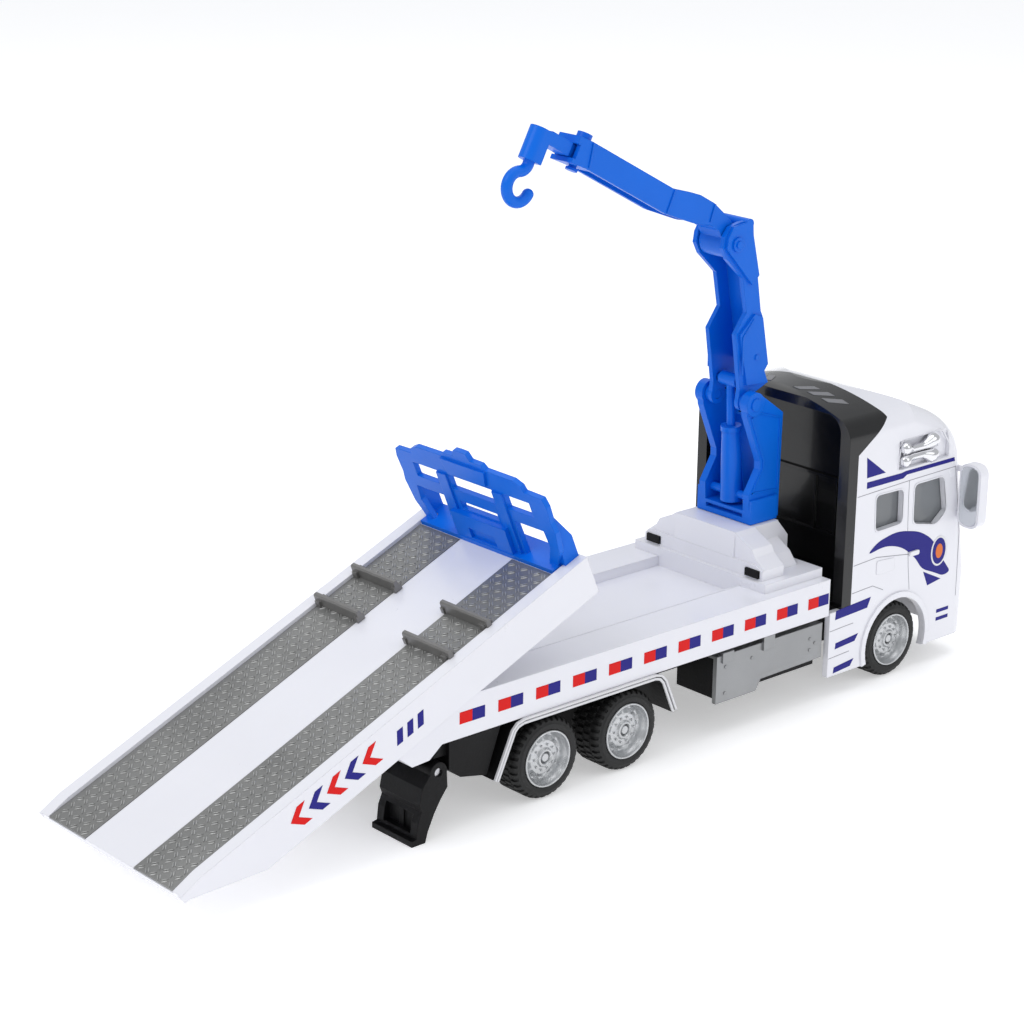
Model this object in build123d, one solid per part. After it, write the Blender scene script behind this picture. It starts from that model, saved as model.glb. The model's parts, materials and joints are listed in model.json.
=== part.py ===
from build123d import *
import math
import os

# Toy recovery lorry: tilt-and-slide bed, folding crane, three axles.
# Millimetres. +X towards the cab, +Y to the left, +Z up, wheels standing on z = 0.
# Shapes are drawn with x = 0 at the rear axle and moved to the frame's origin when written.

# ---- overall places along the lorry ----
middle_axle_x = 24.2
front_axle_x = 114.3
bed_tip_x = -98.6
nose_x = 142.7
origin_x = 22.03

# ---- wheels ----
tyre_r = 9.5
rim_r = 6.6
axle_r = 1.25
wheel_face_y = 24.1
rear_tyre_w = 10.0
front_tyre_w = 8.0
running_gap = 0.05

# ---- tray ----
tray_half_w = 24.6
tray_top = 31.0
tray_bottom = 21.7
tray_front_x = 89.8
tray_rear_x = -43.1
tray_wall = 1.4
floor_top = 28.6
floor_half_w = 13.6
pedestal_rear_x = 70.0
pedestal_front_x = 90.2
pedestal_top = 42.8

# ---- slide bed ----
bed_tilt = 23.17
bed_length = 117.0
bed_half_w = 25.8
bed_tip_z = 8.1
bed_plate = 1.6
skirt_depth = 8.7
skirt_wall = 0.9
rail_h = 0.9
rail_inner_y = 22.6
strip_inner_y = 8.7
strip_t = 0.4
pivot_s = 61.6
pivot_n = -6.6
pivot_r = 1.1
rail_web_y = 12.0
rail_foot_y = 10.8
rail_bottom_n = -4.0
shoe_gap = 2.3
lug_inner_y = 6.3
lug_outer_y = 9.3
lug_r = 2.1
headboard_s = 111.6
headboard_t = 1.3

# ---- crane ----
slew_x = 82.6
column_half_w = 8.2
column_wall = 2.0
arm_pivot = (78.4, 72.6)
ram_foot = (80.4, 48.8)
ram_head = (78.6, 77.0)
ram_stub_r = 0.75
ram_stub_play = 0.3
elbow = (73.3, 111.1)
hook_pivot = (27.6, 136.7)
jib_rise = 28.1
hook_pin_r = 0.9
slot_low_n = -2.25
slot_high_n = 1.0
tongue_neck = 3.2
arm_half_w = 4.9
arm_inner = 3.7
jib_half_w = 3.4
pin_r = 1.1

# ---- cab ----
cab_half_w = 24.85
cab_wall = 1.6
glazing_gap = 0.12
cab_rear_x = 94.0
shell_rear_x = 97.3
cab_floor_z = 22.3
back_wall_x = 103.0
housing_end_x = 104.1
recess_half_w = 21.8
recess_top = 69.6
cab_bottom = 5.8
cab_corner_r = 5.2
roof_crown_r = 60.0
arch_r = 11.2

# ---- legs ----
leg_pivot = (-31.5, 15.2)
leg_inner_y = 10.7
leg_outer_y = 24.1
leg_pin_r = 1.0


def block(x0, x1, y0, y1, z0, z1):
    """Box between two corners."""
    centre = ((x0 + x1) / 2, (y0 + y1) / 2, (z0 + z1) / 2)
    return Pos(*centre) * Box(abs(x1 - x0), abs(y1 - y0), abs(z1 - z0))


def rod_y(x, z, y0, y1, r):
    """Round bar along Y."""
    return Pos(x, (y0 + y1) / 2, z) * Rot(90, 0, 0) * Cylinder(r, abs(y1 - y0))


def rod_x(x0, x1, y, z, r):
    """Round bar along X."""
    return Pos((x0 + x1) / 2, y, z) * Rot(0, 90, 0) * Cylinder(r, abs(x1 - x0))


def rod_z(x, y, z0, z1, r):
    """Round bar along Z."""
    return Pos(x, y, (z0 + z1) / 2) * Cylinder(r, abs(z1 - z0))


def rod_between(a, b, r, r_end=None):
    """Round or tapered bar from one (x, z) point to another in the plane y = 0."""
    start = Vector(a[0], 0, a[1])
    along = Vector(b[0] - a[0], 0, b[1] - a[1])
    turned = Plane(start, z_dir=along)
    low = (Align.CENTER, Align.CENTER, Align.MIN)
    if r_end is None:
        return turned * Cylinder(r, along.length, align=low)
    return turned * Cone(r, r_end, along.length, align=low)


def slab(points, y0, y1):
    """Outline in x, z drawn out from y0 to y1."""
    face = make_face(Polyline([(x, y0, z) for x, z in points], close=True))
    return extrude(face, y1 - y0, dir=(0, 1, 0))


def mirrored(shape):
    """The same shape on the other side of the lorry."""
    return mirror(shape, about=Plane.XZ)


def both_sides(shape):
    return shape + mirrored(shape)


def write(name, shape):
    """Move a piece to the frame's origin and save it."""
    moved = Pos(-origin_x, 0, 0) * shape
    export_step(moved, f"parts/{name}.step")


# ---------------------------------------------------------------- wheels

def wheel_profile(points, outer_y, side):
    """Turn an (r, depth) outline about the axle; depth runs inwards from the outer face."""
    outline = [(r, side * (outer_y - depth), 0) for r, depth in points]
    return revolve(make_face(Polyline(outline, close=True)), Axis.Y)


def rim(x, width, side):
    points = [
        (0, 0.9), (1.6, 0.9), (1.9, 1.3), (1.9, 2.0), (4.2, 2.0), (4.6, 2.4), (5.0, 3.4),
        (5.6, 3.5), (5.8, 1.0), (6.0, 0.2), (rim_r - 0.15, 0.0), (rim_r, 0.4), (6.1, 1.2),
        (6.1, width - 0.6), (5.4, width - 0.6), (5.4, 4.6), (2.6, 4.6), (2.6, width),
        (axle_r, width), (axle_r, 2.2), (0, 2.2),
    ]
    return Pos(x, 0, tyre_r) * wheel_profile(points, wheel_face_y, side)


def tyre(x, width, side):
    shoulder = 1.1
    bead_r = 6.1
    points = [
        (bead_r, 1.2), (rim_r, 0.45), (7.3, 0.15), (8.3, 0.3), (tyre_r - 0.3, shoulder),
        (tyre_r, shoulder + 0.5), (tyre_r, width - shoulder - 0.5), (tyre_r - 0.3, width - shoulder),
        (8.3, width - 0.2), (7.0, width), (bead_r, width - 0.6),
    ]
    return Pos(x, 0, tyre_r) * wheel_profile(points, wheel_face_y, side)


def axle(x):
    half = wheel_face_y - 2.2
    return rod_y(x, tyre_r, -half, half, axle_r)


# ---------------------------------------------------------------- chassis

def chassis():
    spine_half = 10.5
    spine_top = 21.4
    frame = block(-30, 91, -spine_half, spine_half, 13.5, spine_top)
    frame += block(-34.5, -28, -22.5, 22.5, 17.8, spine_top)
    frame += block(91, 138, -9, 9, 13.5, 19)
    frame += block(99.5, 103, -14.5, 14.5, 10, 21)
    for x, half in ((0, 12.0), (middle_axle_x, 12.0), (front_axle_x, 14.0)):
        hanger = block(x - 3.6, x + 3.6, -half, half, 6.2, 15)
        frame += hanger
    # mudflap blocks between the rear wheels and the legs
    flap = slab([(-28.2, 21.4), (-28.2, 14.6), (-25.0, 12.2), (-17.6, 10.6), (-13.6, 21.4)], 10.5, 23.6)
    frame += both_sides(flap)
    # lugs that hold the leg pins, one each side of every leg
    lug = [
        (leg_pivot[0] - 2.2, 17.2), (leg_pivot[0] - 2.2, leg_pivot[1]),
        (leg_pivot[0] - 1.5, leg_pivot[1] - 1.8), (leg_pivot[0] + 1.5, leg_pivot[1] - 1.8),
        (leg_pivot[0] + 3.4, 14.0), (leg_pivot[0] + 3.4, 17.2),
    ]
    frame += both_sides(slab(lug, 8.6, leg_inner_y - 0.2))
    # posts up to the tray
    for x in (-8, 60):
        frame += both_sides(block(x - 3, x + 3, 4, 9, spine_top, 27.1))
    for x in (0, middle_axle_x, front_axle_x):
        frame -= rod_y(x, tyre_r, -20, 20, axle_r + running_gap)
    frame -= both_sides(rod_y(*leg_pivot, 5.0, 24.0, leg_pin_r))
    # screw holes from below
    for x in (-8, 60):
        frame -= both_sides(rod_z(x, 6.5, 13.4, 27.9, 0.9))
        frame -= both_sides(rod_z(x, 6.5, 13.4, 15.2, 1.9))
    # room for the crane's slewing pin
    frame -= rod_z(slew_x, 0, 13.4, 21.6, 3.2)
    return frame


def chassis_screws():
    screws = None
    for x in (-8, 60):
        screw = rod_z(x, 6.5, 15.2, 27.0, 0.9) + rod_z(x, 6.5, 13.9, 15.2, 1.8)
        screw -= block(x - 1.2, x + 1.2, 6.3, 6.7, 13.8, 14.4)
        screws = both_sides(screw) if screws is None else screws + both_sides(screw)
    return screws


def fender():
    """Bent guard over the two rear wheels, on the left side."""
    outer = [
        (-16.4, 9.2), (-11.6, 19.6), (-10.2, 20.9), (-8.2, 21.5), (31.6, 21.5), (33.6, 20.9),
        (35.0, 19.4), (38.6, 11.4),
    ]
    inner = [
        (37.4, 10.9), (33.8, 18.8), (32.8, 20.0), (31.4, 20.3), (-7.9, 20.3), (-9.6, 19.9),
        (-10.6, 19.0), (-15.3, 8.7),
    ]
    return slab(outer + inner, 12.2, 24.7)


def leg(side):
    """Support leg: boss, curved shank and foot."""
    px, pz = leg_pivot
    shank = [
        (px - 2.3, pz), (px - 4.4, 12.6), (px - 5.2, 9.0), (px - 4.6, 7.4), (px - 5.6, 5.0),
        (px - 6.0, 1.5), (px - 7.3, 1.3), (px - 7.3, 0.0), (px - 3.6, 0.0), (px - 2.9, 2.4),
        (px - 1.2, 6.0), (px + 0.6, 8.9), (px + 2.5, 11.3), (px + 2.6, 13.6), (px + 2.3, pz),
    ]
    # keep the shank off the frame behind it while the leg folds back
    shape = slab([p for p in shank if p[0] < px + 2.55], leg_inner_y, leg_outer_y)
    shape += rod_y(px, pz, leg_inner_y, leg_outer_y, 2.3)
    shape -= block(px - 8, px - 4.2, leg_inner_y + 2.2, leg_outer_y - 2.2, 2.2, 6.4)
    shape += block(px - 4.6, px - 3.9, leg_inner_y + 6.0, leg_inner_y + 7.4, 2.2, 6.4)
    shape -= rod_y(px, pz, 5, 30, leg_pin_r + running_gap)
    return shape if side > 0 else mirrored(shape)


def leg_pins():
    return both_sides(rod_y(*leg_pivot, 8.7, 23.6, leg_pin_r))


# ---------------------------------------------------------------- side boxes

def side_box():
    return block(52.6, 87.0, 11.0, 22.7, 9.6, 19.4)


def side_box_cover():
    """Pressed silver plate with a returned top edge, left side."""
    outline = [(52.4, 8.5), (52.4, 19.8), (88.4, 19.8), (88.4, 11.4), (67.4, 11.1), (65.8, 8.5)]
    plate = slab(outline, 22.8, 24.0)
    plate += block(52.4, 88.4, 19.5, 24.0, 19.5, 20.2)
    return plate


# ---------------------------------------------------------------- tray

def tray():
    slope = [
        (tray_rear_x, 21.9), (-20.7, tray_top), (tray_front_x, tray_top), (tray_front_x, tray_bottom),
        (-31.0, tray_bottom), (-34.4, 19.0), (-39.1, 18.7),
    ]
    deck = slab(slope, -tray_half_w, tray_half_w)
    under = [(-39.0, 15), (-39.0, 21.6), (-22.6, 27.2), (88.4, 27.2), (88.4, 15)]
    deck -= slab(under, -tray_half_w + tray_wall, tray_half_w - tray_wall)
    deck -= block(-60, pedestal_rear_x, -floor_half_w, floor_half_w, floor_top, 40)
    # front wall drops only to the panel's lower edge, and a centre rib stiffens the deck
    deck += block(-18, 68, -0.6, 0.6, 21.6, 27.4)
    deck += pedestal()
    # lugs for the carriage's pins
    x, z = bed_point(pivot_s, pivot_n)
    lug = rod_y(x, z, lug_inner_y, lug_outer_y, lug_r)
    lug += slab([(x - lug_r, z), (x - 3.0, 21.5), (x + 5.5, 24.5), (x + lug_r, z)], lug_inner_y, lug_outer_y)
    lug -= rod_y(x, z, 0, 20, pivot_r + running_gap)
    deck += both_sides(lug)
    # boss and bore for the slewing pin
    deck += rod_z(slew_x, 0, 22.4, 29, 4.2)
    deck -= rod_z(slew_x, 0, 22.3, 43, 2.0 + running_gap)
    deck -= rod_z(slew_x, 0, 22.3, 24.4, 3.3)
    return deck


def cross_section(half, x0, x1):
    """Symmetric y, z outline given as its left half, drawn out along X."""
    full = half + [(-y, z) for y, z in reversed(half)]
    face = make_face(Polyline([(x0, y, z) for y, z in full], close=True))
    return extrude(face, x1 - x0, dir=(1, 0, 0))


def pedestal():
    """Stepped block that carries the crane."""
    rear, front = pedestal_rear_x, pedestal_front_x
    low = block(rear, front - 0.4, -21.8, 21.8, 27.2, 33.2)
    shoulders = [
        (19.6, 31), (19.6, 35.8), (16.4, 38.2), (15.4, 39.9), (11.2, 41.9), (9.9, pedestal_top),
    ]
    low += cross_section(shoulders, rear + 1.8, rear + 8.6)
    low += cross_section([(19.6, 31), (19.6, 35.6), (17.2, 36.6)], rear + 1.2, rear + 6.0)
    flare = [(16.4, 31), (16.4, 33.4), (14.0, 36.4), (9.9, 38.8), (9.9, pedestal_top)]
    low += cross_section(flare, rear + 8.4, front - 3.6)
    top = [(rear + 1.0, 31), (rear + 1.8, pedestal_top), (front - 3.8, pedestal_top), (front, 38.4), (front, 31)]
    low += slab(top, -9.9, 9.9)
    slot = block(rear + 0.6, rear + 3.4, 14.2, 18.8, 33.6, 35.6)
    low -= both_sides(slot)
    # hollow inside, open below
    low -= block(rear + 4.0, front - 2.0, -8.2, 8.2, 27.0, 40.8)
    return low + rod_z(slew_x, 0, 27, 41, 4.2)


# ---------------------------------------------------------------- slide bed

def bed_frame():
    """Plane of the bed: x runs up the slope, z out of its top face."""
    up = math.radians(bed_tilt)
    return Plane(
        origin=(bed_tip_x, 0, bed_tip_z),
        x_dir=(math.cos(up), 0, math.sin(up)),
        z_dir=(-math.sin(up), 0, math.cos(up)),
    )


def on_bed(shape):
    return bed_frame() * shape


def bed_point(s, n):
    """A point of the bed, in the lorry's x and z."""
    up = math.radians(bed_tilt)
    x = bed_tip_x + s * math.cos(up) - n * math.sin(up)
    z = bed_tip_z + s * math.sin(up) + n * math.cos(up)
    return x, z


def bed():
    plate = block(0.4, bed_length, -bed_half_w, bed_half_w, -bed_plate, 0)
    skirt = [
        (0.0, 0.1), (0.6, -1.3), (17.8, -8.1), (19.4, -skirt_depth), (bed_length, -skirt_depth),
        (bed_length, 0.2), (bed_length, rail_h), (6.0, rail_h),
    ]
    side = slab(skirt, bed_half_w - skirt_wall, bed_half_w)
    rail = slab([(0.4, -0.4), (0.4, 0.15), (6.0, rail_h), (bed_length, rail_h), (bed_length, -0.4)],
                rail_inner_y, bed_half_w)
    side += rail
    plate += both_sides(side)
    # shallow seats for the chequer strips
    seat = block(0.3, headboard_s - 1.9, strip_inner_y, rail_inner_y, -strip_t, 1.0)
    plate -= both_sides(seat)
    # hooked rails underneath that the carriage runs in
    web = block(7.0, 67.0, rail_web_y, rail_web_y + 1.0, rail_bottom_n, -bed_plate)
    foot = block(7.0, 67.0, rail_foot_y, rail_web_y + 1.0, rail_bottom_n, rail_bottom_n + 0.6)
    plate += both_sides(web + foot)
    # holes for the headboard's pins
    for y in (-20.4, 20.4):
        plate -= rod_z(112.8, y, -2.0, 0.3, 0.7)
    return on_bed(plate)


def tread_strip(side):
    strip = block(0.6, headboard_s - 2.0, strip_inner_y + 0.1, rail_inner_y - 0.1, -strip_t, 0.1)
    return on_bed(strip if side > 0 else mirrored(strip))


def wheel_stop(s, side):
    """Low bar with a lip across one strip."""
    outline = [(s - 0.75, 0.1), (s - 0.6, 2.5), (s - 0.3, 2.8), (s + 0.4, 2.8), (s + 0.75, 0.1)]
    bar = slab(outline, 7.8, 23.0)
    bar += block(s - 1.0, s + 1.1, 7.8, 8.8, 0.1, 1.5)
    bar += block(s - 1.3, s + 1.4, 20.8, 22.3, 0.1, 1.7)
    # the outer end stands over the low side rail
    bar -= block(s - 3, s + 3, rail_inner_y, 24, -1, rail_h)
    return on_bed(bar if side > 0 else mirrored(bar))


def yz_slab(points, s0, s1):
    """Outline in y, n across the bed, drawn out along the bed from s0 to s1."""
    face = make_face(Polyline([(s0, y, n) for y, n in points], close=True))
    return extrude(face, s1 - s0, dir=(1, 0, 0))


def headboard():
    s0 = headboard_s
    s1 = headboard_s + headboard_t
    half = [
        (0, 0.0), (21.6, 0.0), (22.6, 2.4), (24.2, 5.0), (25.2, 10.6), (24.7, 13.2), (25.0, 17.4),
        (24.4, 19.6), (18.8, 19.8), (18.3, 21.2), (16.2, 22.2), (7.2, 22.3), (6.4, 23.4),
        (2.8, 23.5), (2.0, 25.2), (0, 25.3),
    ]
    full = half + [(-y, n) for y, n in reversed(half[1:-1])]
    board = yz_slab(full, s0, s1)
    board += yz_slab([(7.4, 22.0), (6.2, 18.0), (-6.2, 18.0), (-7.4, 22.0)], s0 - 0.6, s1)
    # foot that sits on the bed
    board += block(headboard_s - 1.8, bed_length - 0.2, -22.3, 22.3, 0.0, 1.1)
    # raised middle panel and its two posts
    board += block(s0 - 1.6, s1, -9.2, 9.2, 0.2, 7.8)
    for y in (-9.3, 9.3):
        board += block(s0 - 0.5, s1, y - 1.6, y + 1.6, 0.2, 17.2)
    # windows: a row of three above, a slit and two wide ones below
    board -= block(s0 - 3, s1 + 3, -7.3, 7.3, 13.3, 17.2)
    board -= block(s0 - 3, s1 + 3, -6.2, 6.2, 8.2, 10.3)
    for k in (-1, 1):
        board -= block(s0 - 3, s1 + 3, k * 11.1, k * 19.4, 13.3, 17.2)
        low = [(k * 12.0, 1.1), (k * 11.8, 10.2), (k * 21.2, 10.2), (k * 21.6, 6.0), (k * 19.4, 1.1)]
        board -= yz_slab(low, s0 - 3, s1 + 3)
    board -= block(s0 - 3, s0 - 0.9, -4.3, 4.3, 1.6, 4.4)
    # gussets running forward at both ends
    gusset = slab([(s1 - 0.4, 0.6), (s1 - 0.4, 13.6), (s1 + 0.8, 13.2), (116.6, 6.5), (116.6, 0.6)], 21.6, 23.6)
    gusset -= block(100, 120, 22.2, 26, -1, rail_h)
    board += both_sides(gusset)
    for y in (-20.4, 20.4):
        board -= rod_z(112.8, y, -1, 1.2, 0.7)
    return on_bed(board)


def headboard_pins():
    pins = None
    for y in (-20.4, 20.4):
        pin = rod_z(112.8, y, -bed_plate, 1.2, 0.7)
        pins = pin if pins is None else pins + pin
    return on_bed(pins)


def carriage():
    """Rocking shoe: flanges run in the bed's rails, moulded pins turn in the tray's lugs."""
    s0 = pivot_s - 6.0
    s1 = pivot_s + 6.0
    under = pivot_n + shoe_gap
    top = -bed_plate - 0.1
    shoe = block(s0, s1, -rail_foot_y + 0.1, rail_foot_y - 0.1, under, top)
    shoe += block(s0, s1, -rail_web_y + 0.1, rail_web_y - 0.1, rail_bottom_n + 0.7, top)
    knuckle = rod_y(pivot_s, pivot_n, 2.0, lug_inner_y - 0.2, 2.3)
    knuckle += block(pivot_s - 2.3, pivot_s + 2.3, 2.0, lug_inner_y - 0.2, pivot_n, under)
    shoe += both_sides(knuckle)
    shoe += rod_y(pivot_s, pivot_n, -lug_outer_y, lug_outer_y, pivot_r)
    return on_bed(shoe)


# ---------------------------------------------------------------- crane

def crane_column():
    px, pz = arm_pivot
    hw, wall = column_half_w, column_wall
    base = block(78.0, 87.0, -8.9, 8.9, pedestal_top + 0.15, 46.0)
    base += both_sides(block(78.0, 87.0, hw - wall, 8.9, 46.0, 48.9))
    base -= block(77.5, 79.5, -6.0, 6.0, 44.2, 45.2)
    side = [
        (78.0, 46.0), (77.7, 50.2), (81.2, 56.0), (81.2, 58.0), (76.2, 69.6), (px - 2.7, pz),
        (px - 1.6, pz + 2.3), (px, pz + 2.8), (px + 1.6, pz + 2.4), (88.4, 69.0), (88.2, 46.0),
    ]
    base += both_sides(slab(side, hw - wall, hw))
    base += both_sides(rod_y(px, pz, hw - wall, hw + 0.4, 2.9))
    base += block(86.6, 88.2, -hw, hw, 43.2, 66.0)
    base -= rod_y(px, pz, -12, 12, pin_r)
    base -= rod_y(*ram_foot, -7.6, 7.6, 1.0 + running_gap)
    base -= rod_z(slew_x, 0, 40, 46.1, 2.0)
    return base


def slew_pin():
    return rod_z(slew_x, 0, 24.5, 45.9, 2.0) + rod_z(slew_x, 0, 22.9, 24.3, 3.1) + rod_z(slew_x, 0, 24.2, 24.6, 2.0)


def column_studs():
    px, pz = arm_pivot
    return both_sides(rod_y(px, pz, arm_inner + 0.1, column_half_w + 0.4, pin_r))


def ram_axis_point(distance):
    """A point on the ram's axis, measured up from its foot pivot."""
    dx = ram_head[0] - ram_foot[0]
    dz = ram_head[1] - ram_foot[1]
    length = math.hypot(dx, dz)
    return ram_foot[0] + dx / length * distance, ram_foot[1] + dz / length * distance


def cylinder_barrel():
    barrel = rod_between(ram_axis_point(-1.9), ram_axis_point(16.6), 2.8, 2.2)
    barrel += rod_between(ram_axis_point(15.6), ram_axis_point(16.9), 2.5)
    barrel += rod_y(*ram_foot, -7.5, 7.5, 1.0)
    barrel -= rod_between(ram_axis_point(2.5), ram_axis_point(20), 1.05 + running_gap)
    return barrel


def cylinder_rod():
    rod = rod_between(ram_axis_point(6.0), ram_head, 1.05)
    rod += rod_y(*ram_head, -2.7, 2.7, 1.6)
    rod += rod_y(*ram_head, -4.5, 4.5, ram_stub_r)
    return rod


def crane_arm():
    px, pz = arm_pivot
    ex, ez = elbow
    hw = arm_half_w
    side = [
        (px - 2.2, pz), (px - 1.8, pz + 3.4), (74.4, 89.4), (77.9, 94.2), (76.2, 102.6), (70.6, 107.8),
        (69.1, 110.6), (69.6, 113.2), (71.4, 115.3), (74.5, 116.0), (78.4, 116.2), (78.9, 112.6),
        (81.2, 102.4), (82.7, 93.9), (83.4, 92.6), (85.6, 80.6), (84.4, 79.2), (86.0, 76.0),
        (px + 2.2, pz + 1.2), (px + 2.2, pz),
    ]
    arm = slab(side, arm_inner, hw)
    arm += rod_y(px, pz, arm_inner, hw, 2.3)
    arm += rod_y(px, pz, hw, column_half_w - column_wall - 0.1, 2.0)
    # thicker cover round the elbow and stiffened lower panel
    cover = [(69.9, 110.4), (70.2, 112.8), (71.8, 115.4), (78.2, 116.0), (78.5, 112.6), (81.0, 102.8), (78.8, 100.8)]
    arm += slab(cover, hw, hw + 0.7)
    panel = [(80.4, 93.6), (83.0, 92.4), (85.4, 80.8), (84.2, 79.3), (85.6, 76.2), (78.4, 76.6), (75.4, 89.2)]
    arm += slab(panel, hw, hw + 0.6)
    arm = both_sides(arm)
    web = [
        (85.4, 80.9), (84.1, 80.6), (81.9, 92.2), (81.4, 94.0), (79.9, 102.2), (77.7, 112.3),
        (77.2, 115.9), (78.3, 116.1), (78.8, 112.6), (81.1, 102.4), (82.6, 93.9), (83.3, 92.6),
    ]
    arm += slab(web, -hw, hw)
    arm += rod_y(77.2, 115.4, -hw - 0.7, hw + 0.7, 1.2)
    arm -= rod_y(px, pz, -12, 12, pin_r + running_gap)
    arm -= rod_y(ex, ez, -12, 12, pin_r)
    # the ram's stubs have play here, since the ram swings on its own circle
    arm -= rod_y(*ram_head, -4.6, 4.6, ram_stub_r + ram_stub_play)
    return arm


def elbow_pin():
    cap = both_sides(rod_y(*elbow, arm_half_w + 0.7, arm_half_w + 1.2, 1.7))
    return cap + rod_y(*elbow, -arm_half_w - 0.7, arm_half_w + 0.7, pin_r)


def jib_frame():
    """Plane at the hook's pivot: x runs out along the jib, z out of its top face."""
    up = math.radians(jib_rise)
    return Plane(
        origin=(hook_pivot[0], 0, hook_pivot[1]),
        x_dir=(-math.cos(up), 0, math.sin(up)),
        z_dir=(math.sin(up), 0, math.cos(up)),
    )


def jib():
    ex, ez = elbow
    hw = jib_half_w
    outline = [
        (25.3, 141.1), (28.8, 139.5), (54.3, 126.0), (59.4, 124.7), (62.8, 123.6), (67.3, 121.2),
        (72.0, 117.3), (74.9, 114.4), (ex, ez), (70.6, 111.6), (69.2, 114.5), (66.4, 116.1), (61.2, 117.2),
        (51.6, 120.7), (27.3, 133.6), (22.5, 135.6),
    ]
    body = slab(outline, -hw, hw) + rod_y(ex, ez, -hw, hw, 3.6)
    # channel open below, closed at the tip and round the elbow
    hollow = [
        (32.0, 136.5), (54.0, 124.9), (59.2, 123.4), (62.4, 122.3), (66.4, 120.2), (69.2, 117.6),
        (66.0, 115.0), (61.0, 116.0), (51.0, 119.6), (28.0, 131.0), (29.3, 133.5),
    ]
    body -= slab(hollow, -hw + 1.1, hw - 1.1)
    body -= rod_y(ex, ez, -hw - 1, hw + 1, pin_r + running_gap)
    # slot at the tip for the hook's tongue
    body -= jib_frame() * block(-2.6, 12, -2.35, 2.35, slot_low_n, slot_high_n)
    body -= jib_frame() * block(tongue_neck, 12, -6, 6, slot_low_n, slot_high_n)
    body -= jib_frame() * rod_z(0, 0, -8, 8, hook_pin_r)
    return body


def hook_pin():
    pin = rod_z(0, 0, -3.8, 3.8, hook_pin_r) + rod_z(0, 0, 3.3, 4.5, 1.75) + rod_z(0, 0, -4.2, -3.6, 1.4)
    return jib_frame() * pin


def hook():
    """Swivel block with a tongue for the jib's slot and the hook below it."""
    low, high = slot_low_n + 0.12, slot_high_n - 0.12
    body = block(0, 5.0, -1.5, 1.5, low, high) + rod_z(0, 0, low, high, 1.9)
    body += block(tongue_neck + 1.2, 11.0, -2.2, 2.2, low, high)
    body += block(10.8, 13.0, -2.2, 2.2, -6.9, 0.6) + rod_z(13.0, 0, -6.9, 0.6, 2.2)
    body -= rod_z(0, 0, -8, 8, hook_pin_r + running_gap)
    shape = jib_frame() * body
    centre = (10.4, 131.3)
    ring_r = 3.35
    wire_r = 1.3

    def on_ring(angle):
        a = math.radians(angle)
        return (centre[0] + ring_r * math.cos(a), 0, centre[1] + ring_r * math.sin(a))

    throat = ThreePointArc(on_ring(-36), on_ring(-160), on_ring(84))
    shank = TangentArc(on_ring(84), (13.4, 0, 137.4), tangent=throat % 1)
    path = throat + shank
    section = Plane(origin=on_ring(-36), z_dir=throat % 0) * Circle(wire_r)
    return shape + sweep(section, path=path) + Pos(*on_ring(-36)) * Sphere(wire_r)


# ---------------------------------------------------------------- cab

def roof_crown(inset):
    """Bar along X whose top gives the roof its crown from side to side."""
    return rod_x(cab_rear_x - 1, nose_x + 1, 0, 72.9 - roof_crown_r, roof_crown_r - inset)


def cab_solid(crowned):
    """Whole cab as one block, rounded at its edges and running on below the floor."""
    roof = [
        (cab_rear_x, 72.0), (96.0, 72.8), (104.0, 72.9), (112.0, 71.4), (121.0, 67.9), (128.0, 64.8),
        (134.0, 60.4), (137.6, 54.2),
    ]
    front = [(142.2, 25.0), (nose_x, 22.4), (nose_x - 0.4, 8.6), (nose_x - 2.4, -20.0), (cab_rear_x, -20.0)]
    y0 = -cab_half_w
    top_line = Spline([(x, y0, z) for x, z in roof])
    rest = Polyline([(x, y0, z) for x, z in [roof[-1]] + front + [roof[0]]])
    solid = extrude(make_face(top_line + rest), 2 * cab_half_w, dir=(0, 1, 0))
    if crowned:
        solid = solid & roof_crown(0)
    rounded = []
    for edge in solid.edges():
        middle = edge @ 0.5
        on_side = abs(abs(middle.Y) - cab_half_w) < 1e-3
        if on_side and middle.Z > -19 and middle.X > cab_rear_x + 0.1:
            rounded.append(edge)
    return fillet(rounded, cab_corner_r)


whole_cab = cab_solid(True)
plain_cab = cab_solid(False)


def cab_block(inset):
    """The cab's outer shape taken in by inset, cut off level with the bottom of the shell."""
    inner = whole_cab if inset == 0 else offset(plain_cab, -inset) & roof_crown(inset)
    return inner & block(80, 150, -40, 40, cab_bottom, 80)


def back_region():
    """Space that belongs to the black rear housing: the rear rim and the roof's rear part."""
    outline = [
        (cab_rear_x - 5, cab_floor_z), (shell_rear_x, cab_floor_z), (shell_rear_x, 60.3), (108.4, 67.6),
        (105.4, 76.0), (cab_rear_x - 5, 76.0),
    ]
    return slab(outline, -30, 30)


def window_cutters():
    rear = slab([(104.4, 48.9), (114.5, 48.7), (114.7, 40.0), (104.8, 39.7)], 20, 28)
    door = slab([(118.6, 48.9), (129.6, 48.9), (131.4, 39.8), (127.6, 36.9), (118.8, 38.9)], 20, 28)
    screen = block(130, 150, -20.6, 20.6, 36.0, 52.4)
    return both_sides(rear + door) + screen


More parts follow.
